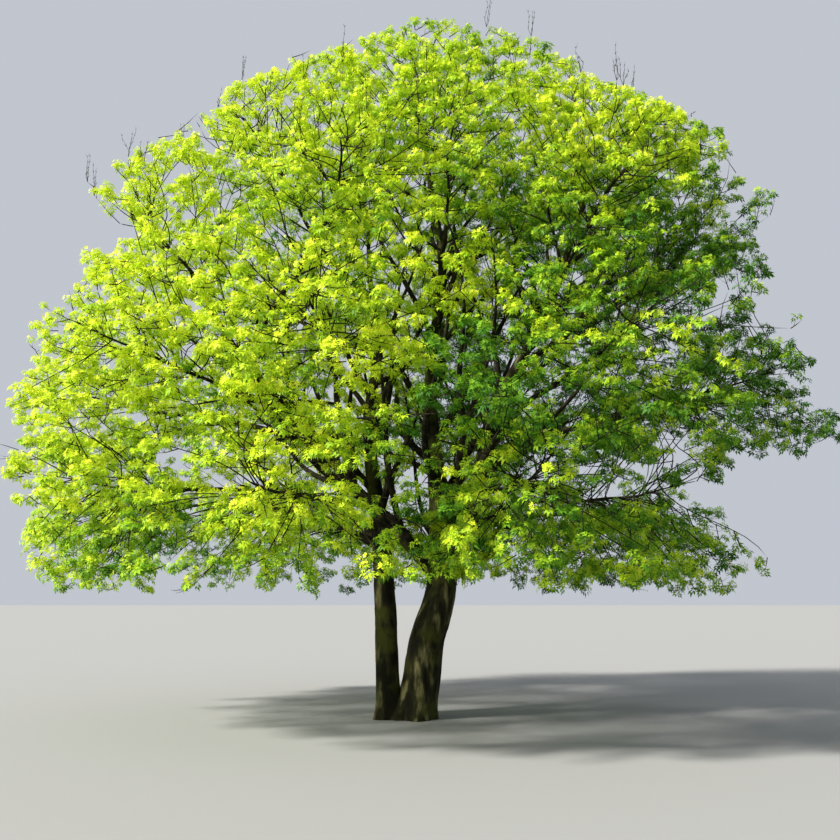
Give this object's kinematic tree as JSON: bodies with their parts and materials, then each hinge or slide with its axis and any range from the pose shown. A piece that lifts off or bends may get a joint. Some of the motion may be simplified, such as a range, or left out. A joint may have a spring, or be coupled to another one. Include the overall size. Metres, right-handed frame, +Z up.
{
  "type": "maple tree",
  "caption": "Broad maple in spring leaf: a leaning trunk that forks low, slimmer stems beside it, and a domed crown of foliage masses on tapering boughs, clear of the ground below.",
  "frame": {"origin": "in the flat cut under the trunk at ground level, at the foot of the trunk's axis", "axes": "+Z up, +X to the right in the picture, +Y away from the picture's camera"},
  "size_m": [10.565, 10.2117, 9.591],
  "materials": {
    "bark": "fissured grey-brown bark with green moss and algae on the trunk and stems",
    "young_bark": "smoother dark brown bark on boughs and twigs",
    "leaves": "soft young leaves and yellow-green blossom clusters, matt"
  },
  "bodies": {
    "root": {"back_stem": "bark", "leader_centre": "bark", "leader_left": "bark", "leader_right": "bark", "left_stem": "bark", "trunk": "bark", "bough_shoulder_1": "young_bark", "bough_shoulder_2": "young_bark", "bough_shoulder_3": "young_bark", "bough_shoulder_4": "young_bark", "bough_shoulder_5": "young_bark", "bough_shoulder_6": "young_bark", "bough_shoulder_7": "young_bark", "bough_shoulder_8": "young_bark", "bough_skirt_1": "young_bark", "bough_skirt_2": "young_bark", "bough_skirt_3": "young_bark", "bough_skirt_4": "young_bark", "bough_skirt_5": "young_bark", "bough_skirt_6": "young_bark", "bough_skirt_7": "young_bark", "bough_skirt_8": "young_bark", "bough_skirt_9": "young_bark", "bough_top_2": "young_bark", "bough_top_4": "young_bark", "bough_top_5": "young_bark", "bough_upper_1": "young_bark", "bough_upper_3": "young_bark", "bough_upper_5": "young_bark", "bough_upper_6": "young_bark", "foliage_shoulder_1": "leaves", "foliage_shoulder_2": "leaves", "foliage_shoulder_3": "leaves", "foliage_shoulder_4": "leaves", "foliage_shoulder_5": "leaves", "foliage_shoulder_6": "leaves", "foliage_shoulder_7": "leaves", "foliage_shoulder_8": "leaves", "foliage_skirt_1": "leaves", "foliage_skirt_2": "leaves", "foliage_skirt_3": "leaves", "foliage_skirt_4": "leaves", "foliage_skirt_5": "leaves", "foliage_skirt_6": "leaves", "foliage_skirt_7": "leaves", "foliage_skirt_8": "leaves", "foliage_skirt_9": "leaves", "foliage_tip_1": "leaves", "foliage_top_1": "leaves", "foliage_top_2": "leaves", "foliage_top_3": "leaves", "foliage_top_4": "leaves", "foliage_top_5": "leaves", "foliage_trunk_shoots": "leaves", "foliage_upper_1": "leaves", "foliage_upper_2": "leaves", "foliage_upper_3": "leaves", "foliage_upper_4": "leaves", "foliage_upper_5": "leaves", "foliage_upper_6": "leaves"}
  },
  "joints": []
}
